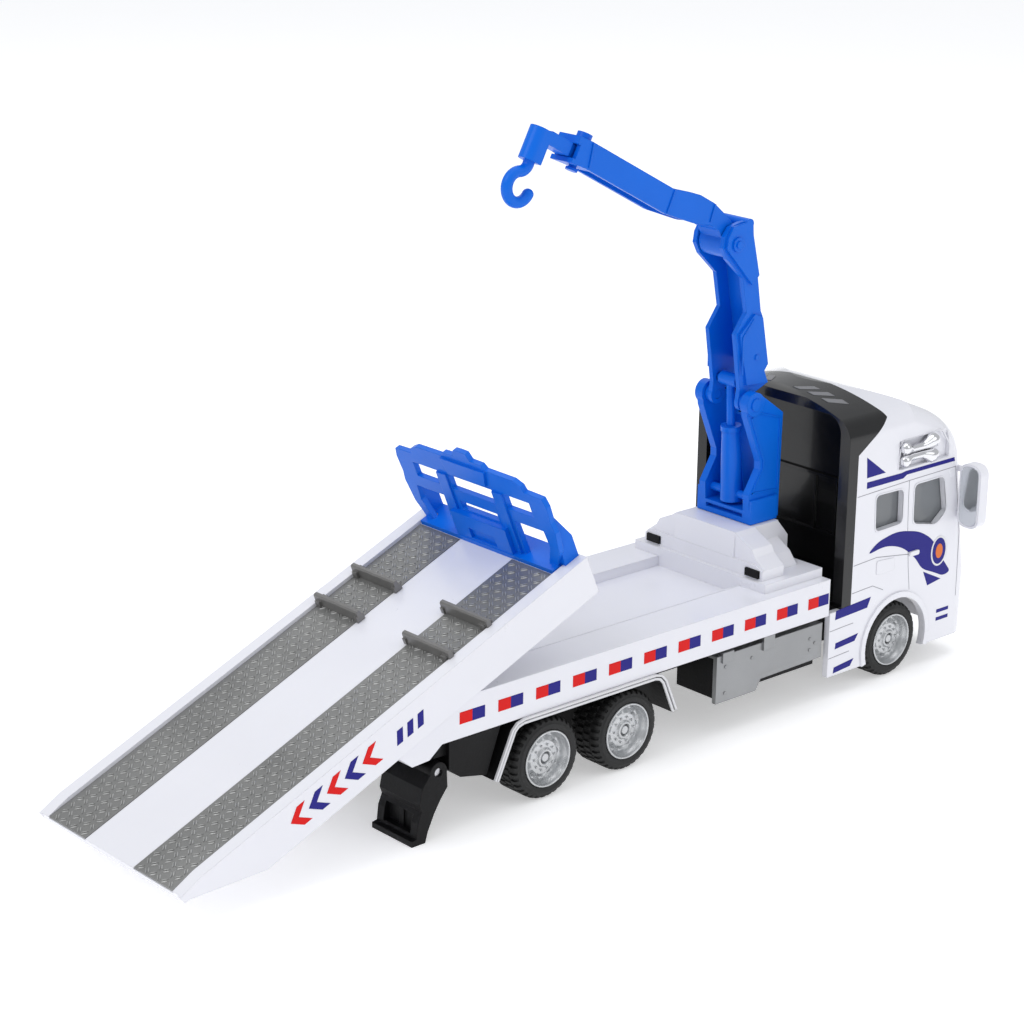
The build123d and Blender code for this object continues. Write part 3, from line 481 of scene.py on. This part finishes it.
for side_name, side in SIDES:
    y0, y1 = side * CAB_SIDE, side * (CAB_SIDE + DECAL)
    print_blue = Shape()
    print_blue.side([(100.3, 59.3), (107.4, 54.2), (100.7, 54.1)], y0, y1)
    print_blue.side([(100.8, 51.4), (114.0, 51.4), (115.4, 52.1), (133.4, 52.1),
                     (133.1, 53.1), (114.9, 53.1), (113.4, 52.9), (100.8, 53.0)], y0, y1)
    wave = [(102.2, 34.3), (106.0, 36.9), (113.0, 38.2), (121.5, 36.4), (126.8, 33.2),
            (129.8, 28.6), (134.4, 23.2), (131.6, 22.6), (127.2, 24.6), (123.2, 26.2),
            (120.6, 29.6), (115.4, 33.6), (109.0, 35.4)]
    print_blue.side(rounded(wave, 5.0, 6), y0, y1)
    print_blue.side([(123.9, 25.3), (130.8, 22.0), (125.8, 21.3)], y0, y1)
    for x0, x1, z0, z1 in ((91.9, 104.6, 20.2, 23.2), (92.3, 100.6, 12.6, 14.8), (92.1, 99.4, 6.4, 8.6)):
        print_blue.side([(x0, z0), (x1 - 1.2, z0 + 0.5), (x1, z1), (x0 + 0.2, z1 - 0.7)], y0, y1)
    for z in (10.9, 13.0):
        print_blue.box(130.0, 134.6, y0, y1, z, z + 0.9)
    print_blue.make(f"cab_print_{side_name}", "truck", "white_body", "decal_blue")

    # plain roundel on the door, three stacked discs
    badge = (129.4, 29.6)
    discs = ((3.0, 3.9, "decal_white"), (2.5, 3.4, "decal_blue"), (1.3, 1.9, "orange"))
    for step, (rx, rz, finish) in enumerate(discs):
        roundel = Shape()
        rise = DECAL * (1 + step)
        roundel.side(disc(badge[0], badge[1], rx, rz), y0, side * (CAB_SIDE + DECAL + rise))
        roundel.make(f"cab_roundel_{step}_{side_name}", "truck", "white_body", finish)

    # window surrounds, arch lip and horn recess rim
    trim = Shape()
    for outline in (REAR_WINDOW, DOOR_WINDOW):
        window = rounded(outline, 1.6)
        ring_around(trim, window, 0.42, side * (CAB_SIDE - 0.2), side * (CAB_SIDE + 0.14))
    sweep = [math.radians(198 - 216 * k / 26) for k in range(27)]
    arch = [(FRONT_AXLE_X + ARCH_R * math.cos(a), TYRE_R + ARCH_R * math.sin(a)) for a in sweep]
    arch = [p for p in arch if p[1] > 6.0]
    trim.band(arch, 0.0, 1.5, side * (CAB_SIDE - 0.4), side * (CAB_SIDE + 0.45))
    horn_recess = [(111.9, 53.8), (112.9, 61.1), (127.6, 61.1), (130.7, 57.0), (130.7, 53.8)]
    ring_around(trim, rounded(horn_recess, 1.0), 0.35, side * (CAB_SIDE - 0.3), side * (CAB_SIDE + 0.15))
    trim.make(f"cab_trim_{side_name}", "truck", "white_body", smooth=False)

    # panel lines
    seams = Shape()
    door = [(116.5, 50.4), (116.5, 47.0), (116.9, 38.5), (118.0, 28.0), (118.9, 21.8)]
    seams.band(door, -0.09, 0.09, y0, side * (CAB_SIDE + 0.02))
    panel_lines = (
        [(97.6, 32.6), (106.0, 33.0), (118.0, 31.2)],
        [(97.6, 25.6), (105.0, 25.9), (109.0, 24.0)],
        [(90.2, 17.6), (98.6, 17.9)],
        [(90.2, 10.6), (97.6, 10.9)],
        [(133.9, 50.6), (137.0, 33.0), (137.2, 16.0)],
        [(116.5, 50.4), (134.0, 50.6)],
        [(97.6, 49.9), (116.5, 50.4)],
    )
    for path in panel_lines:
        seams.band(path, -0.09, 0.09, y0, side * (CAB_SIDE + 0.02))
    seams.make(f"cab_seams_{side_name}", "truck", "white_body", "seam")

    handle = Shape()
    handle.side(rounded([(117.9, 30.6), (121.4, 30.6), (121.4, 31.8), (117.9, 31.8)], 0.5),
                side * (CAB_SIDE - 0.1), side * (CAB_SIDE + 0.5))
    handle.side(rounded([(106.0, 32.0), (112.6, 31.6), (112.6, 28.4), (106.0, 28.4)], 0.6),
                side * (CAB_SIDE - 0.1), side * (CAB_SIDE + 0.18))
    handle.make(f"door_handle_{side_name}", "truck", "white_body")

    # double bright edge round the mudguard
    guard = [(-15.9, 9.0), (-11.1, 19.4), (-9.9, 20.5), (-8.1, 21.0),
             (31.5, 21.0), (33.3, 20.5), (34.5, 19.2), (38.0, 11.2)]
    bright = Shape()
    bright.band(guard, -0.75, -0.15, side * 24.65, side * 25.05)
    bright.band(guard, 0.15, 0.7, side * 24.65, side * 25.2)
    bright.make(f"mudguard_edge_{side_name}", "truck", "black_plastic", "white_trim")

    # roof marks: plain slanted bars
    roof = Shape()
    for k in range(3):
        x = 96.6 + 0.3 * k
        y = side * (3.6 + 4.3 * k)
        outline = [(x, y), (x + 4.6, y + side * 2.6), (x + 4.6, y + side * 4.8), (x, y + side * 2.2)]
        roof.prism([(a, b, crown_z(b) - 0.3) for a, b in outline],
                   [(a, b, crown_z(b) + 0.06) for a, b in outline])
    roof.make(f"roof_bars_{side_name}", "truck", "black_gloss", "decal_grey")

    # side box fittings
    fittings = Shape()
    fittings.box(67.6, 71.3, side * 23.0, side * 24.5, 18.2, 21.6)
    fittings.box(54.0, 57.6, side * 23.0, side * 24.4, 18.4, 20.9)
    for x, z in ((84.2, 14.2), (86.0, 15.6), (84.2, 17.0), (55.4, 10.6), (55.4, 17.2), (64.2, 17.2)):
        fittings.side(disc(x, z, 0.45, 0.45, 12), side * 23.5, side * 24.15)
    fittings.make(f"side_box_fittings_{side_name}", "truck", "silver_plastic", "box_silver")

# ------------------------------------------------------------------ twin horns

# (x, radius, how far the pipe's middle stands from the pair's middle)
HORN_PROFILE = [
    (112.3, 0.6, 1.6), (112.6, 1.15, 1.6), (113.3, 1.5, 1.6), (114.2, 1.5, 1.55), (115.0, 1.1, 1.3),
    (115.8, 0.95, 1.05), (119.6, 0.95, 1.05), (120.8, 1.15, 1.25), (122.0, 1.6, 1.7), (123.0, 1.85, 1.85),
    (124.0, 1.8, 1.85),
    (124.7, 1.45, 1.85), (124.9, 1.0, 1.85), (124.2, 0.6, 1.85),
]


def trumpet(shape, y, z, spread, steps=28):
    """Flared pipe along X, closed at both ends. spread is +1 for the upper pipe and -1 for the lower."""
    base = len(shape.verts)
    for x, r, away in HORN_PROFILE:
        for i in range(steps):
            a = TURN * i / steps
            shape.verts.append((x, y + r * math.cos(a), z + spread * away + r * math.sin(a)))
    last = base + (len(HORN_PROFILE) - 1) * steps
    shape.faces.append(tuple(range(base, base + steps)))
    shape.faces.append(tuple(range(last, last + steps)))
    for start in range(base, last, steps):
        for i in range(steps):
            k = (i + 1) % steps
            shape.faces.append((start + i, start + steps + i, start + steps + k, start + k))


for side_name, side in SIDES:
    horns = Shape()
    for spread in (-1, 1):
        trumpet(horns, side * 25.4, 57.6, spread)
    horns.box(113.2, 114.8, side * 23.95, side * 25.2, 56.2, 59.0)
    horns.box(121.8, 123.4, side * 23.95, side * 25.2, 56.2, 59.0)
    pair = horns.make(f"twin_horn_{side_name}", "truck", "chrome", smooth=True)
    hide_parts(f"horn_{side_name}")

# ------------------------------------------------------------------ front of the cab and door mirrors

SCREEN_HALF = 20.6
SCREEN_LOW = 36.0
SCREEN_TOP = 52.4
GLASS_IN = 1.72


def front_x(z):
    """Where the cab's sloping front stands at a height."""
    if z > 25.0:
        return 142.2 - (z - 25.0) * 4.6 / 29.2
    return 142.65 - max(0.0, 22.4 - z) * 0.4 / 13.8


def on_front(shape, outline, low, high):
    """Solid with an outline in y and z that follows the cab's front, from low to high off its face."""
    shape.prism([(front_x(z) + low, y, z) for y, z in outline],
                [(front_x(z) + high, y, z) for y, z in outline])


def bar(y0, z0, y1, z1):
    return [(y0, z0), (y1, z0), (y1, z1), (y0, z1)]


surround = Shape()
for y0, z0, y1, z1 in ((-SCREEN_HALF - 0.5, SCREEN_TOP, SCREEN_HALF + 0.5, SCREEN_TOP + 0.5),
                       (-SCREEN_HALF - 0.5, SCREEN_LOW - 0.5, SCREEN_HALF + 0.5, SCREEN_LOW),
                       (-SCREEN_HALF - 0.5, SCREEN_LOW, -SCREEN_HALF, SCREEN_TOP),
                       (SCREEN_HALF, SCREEN_LOW, SCREEN_HALF + 0.5, SCREEN_TOP)):
    on_front(surround, bar(y0, z0, y1, z1), -0.3, 0.14)
on_front(surround, bar(-13.2, 32.6, 13.2, 33.3), -0.3, 0.3)
on_front(surround, bar(-13.2, 11.3, 13.2, 12.0), -0.3, 0.3)
on_front(surround, bar(-6.0, 7.2, 6.0, 10.2), -0.3, 0.25)
surround.make("front_mouldings", "truck", "white_body")

wipers = Shape()
for y in (-1.0, 13.0):
    arm_outline = [(y, 36.3), (y + 0.6, 36.3), (y - 5.4, 43.2), (y - 6.0, 43.2)]
    blade_outline = [(y - 10.4, 41.6), (y - 10.2, 42.1), (y - 1.2, 45.2), (y - 1.0, 44.7)]
    on_front(wipers, arm_outline, -GLASS_IN - 0.1, -GLASS_IN + 0.5)
    on_front(wipers, blade_outline, -GLASS_IN - 0.1, -GLASS_IN + 0.7)
wipers.make("wipers", "truck", "black_plastic")

MIRROR_AT = (134.6, 29.0, 43.6)
for side_name, side in SIDES:
    x, y, z = MIRROR_AT
    flat = [(y - 2.7, z - 7.6), (y + 2.7, z - 7.6), (y + 2.7, z + 7.6), (y - 2.7, z + 7.6)]
    outline = rounded(flat, 2.4)
    glass = Shape()
    glass.prism([(x + 0.2, side * a, b) for a, b in outline], [(x - 0.12, side * a, b) for a, b in outline])
    glass.make(f"mirror_glass_{side_name}", "truck", "chrome", "mirror_face")

# ------------------------------------------------------------------ fittings on the tray and crane

for side_name, side in SIDES:
    # black plate in the pedestal's slot: painted shade standing in for the shadowed inside of the slot
    slot = Shape()
    slot.box(70.7, 72.2, side * 14.35, side * 18.65, 33.7, 35.5)
    slot.make(f"pedestal_slot_painted_shade_{side_name}", "truck", "black_plastic")

    ribs = Shape()
    side_y = side * 3.4
    dx = 0.35
    for low, high in (((51.9, 120.9), (54.3, 125.9)),
                      ((65.9, 117.0), (67.4, 121.0)),
                      ((27.6, 133.9), (28.9, 139.3))):
        outline = [low, (low[0] + dx, low[1] - 0.1), (high[0] + dx, high[1] - 0.1), high]
        ribs.side(outline, side_y, side_y + side * 0.28)
    ribs.make(f"jib_ribs_{side_name}", "jib", "blue_plastic")

    plates = Shape()
    border = [(78.6, 50.6), (82.2, 56.2), (82.2, 58.2), (77.5, 69.3),
              (79.6, 70.4), (87.4, 67.9), (87.4, 50.2)]
    closed = border + border[:1]
    plates.band(closed, -0.22, 0.22, side * 8.15, side * 8.42)
    plates.side(disc(78.4, 72.6, 1.5, 1.5, 24), side * 8.5, side * 8.95)
    plates.make(f"column_ribs_{side_name}", "crane", "blue_plastic")

    arm_marks = Shape()
    arm_marks.side(disc(73.3, 111.1, 0.9, 0.9, 20), side * 6.05, side * 6.45)
    arm_marks.side(disc(81.4, 83.0, 0.7, 0.7, 16), side * 5.45, side * 5.75)
    arm_marks.band([(76.6, 79.4), (76.4, 88.6), (79.9, 92.4)], -0.18, 0.18, side * 5.45, side * 5.68)
    arm_marks.make(f"arm_rivets_{side_name}", "arm", "blue_plastic")

    edge = Shape()
    edge.box(-18, 70, side * 13.55, side * 13.85, 30.9, 31.12)
    edge.make(f"deck_edge_{side_name}", "truck", "white_plastic")

# ------------------------------------------------------------------ floor, light and camera

# half the floor's width, in metres
FLOOR = 4.0
FLOOR_GLOW = 0.42
WORLD_STRENGTH = 0.60
floor_mesh = bpy.data.meshes.new("floor")
corners = [(-FLOOR, -FLOOR, 0), (FLOOR, -FLOOR, 0), (FLOOR, FLOOR, 0), (-FLOOR, FLOOR, 0)]
floor_mesh.from_pydata(corners, [], [(0, 1, 2, 3)])
floor_mat = surface("studio_floor", (0.86, 0.86, 0.87), 0.7,
                    grain=(0.05, 40), mottle=0.004, rough_spread=0.03)
floor_shader = floor_mat.node_tree.nodes["Principled BSDF"]
floor_shader.inputs["Emission Color"].default_value = (1, 1, 1, 1)
floor_shader.inputs["Emission Strength"].default_value = FLOOR_GLOW
floor_mesh.materials.append(floor_mat)
floor = bpy.data.objects.new("floor", floor_mesh)
bpy.context.scene.collection.objects.link(floor)

world = bpy.data.worlds.new("studio")
bpy.context.scene.world = world
world.use_nodes = True
world.node_tree.nodes["Background"].inputs["Color"].default_value = (0.95, 0.97, 1.0, 1)
world.node_tree.nodes["Background"].inputs["Strength"].default_value = WORLD_STRENGTH

CENTRE = place(22, 0, 45)


def soft_light(name, azimuth, elevation, distance, size, power):
    light = bpy.data.lights.new(name, "AREA")
    light.shape = "DISK"
    light.size = size
    light.energy = power
    lamp = bpy.data.objects.new(name, light)
    bpy.context.scene.collection.objects.link(lamp)
    a, e = math.radians(azimuth), math.radians(elevation)
    away = Vector((math.sin(a) * math.cos(e), -math.cos(a) * math.cos(e), math.sin(e)))
    lamp.location = CENTRE + away * distance
    lamp.rotation_euler = (-away).to_track_quat("-Z", "Y").to_euler()


soft_light("key", -95, 50, 0.9, 0.5, 2.0)
soft_light("fill", 25, 30, 1.0, 0.7, 1.0)
soft_light("top", 40, 80, 0.95, 0.8, 1.7)
soft_light("rim", 150, 40, 1.0, 0.6, 0.8)

CAMERA_AT = (-360.7, -414.6, 241.3)
CAMERA_AZ, CAMERA_EL, CAMERA_ROLL = (math.radians(v) for v in (-41.787, 18.216, 0.76))


def camera_matrix():
    back = Vector((math.sin(CAMERA_AZ) * math.cos(CAMERA_EL), -math.cos(CAMERA_AZ) * math.cos(CAMERA_EL),
                   math.sin(CAMERA_EL)))
    right = (-back).cross(Vector((0, 0, 1))).normalized()
    up = right.cross(-back)
    turned_right = right * math.cos(CAMERA_ROLL) + up * math.sin(CAMERA_ROLL)
    turned_up = up * math.cos(CAMERA_ROLL) - right * math.sin(CAMERA_ROLL)
    matrix = Matrix((turned_right, turned_up, back)).transposed().to_4x4()
    matrix.translation = place(*CAMERA_AT)
    return matrix


camera_data = bpy.data.cameras.new("camera")
camera_data.lens = 92.66
camera_data.sensor_width = 36
camera_data.clip_start = 0.01
camera = bpy.data.objects.new("camera", camera_data)
bpy.context.scene.collection.objects.link(camera)
camera.matrix_world = camera_matrix()
bpy.context.scene.camera = camera
bpy.context.scene.view_settings.view_transform = "Standard"
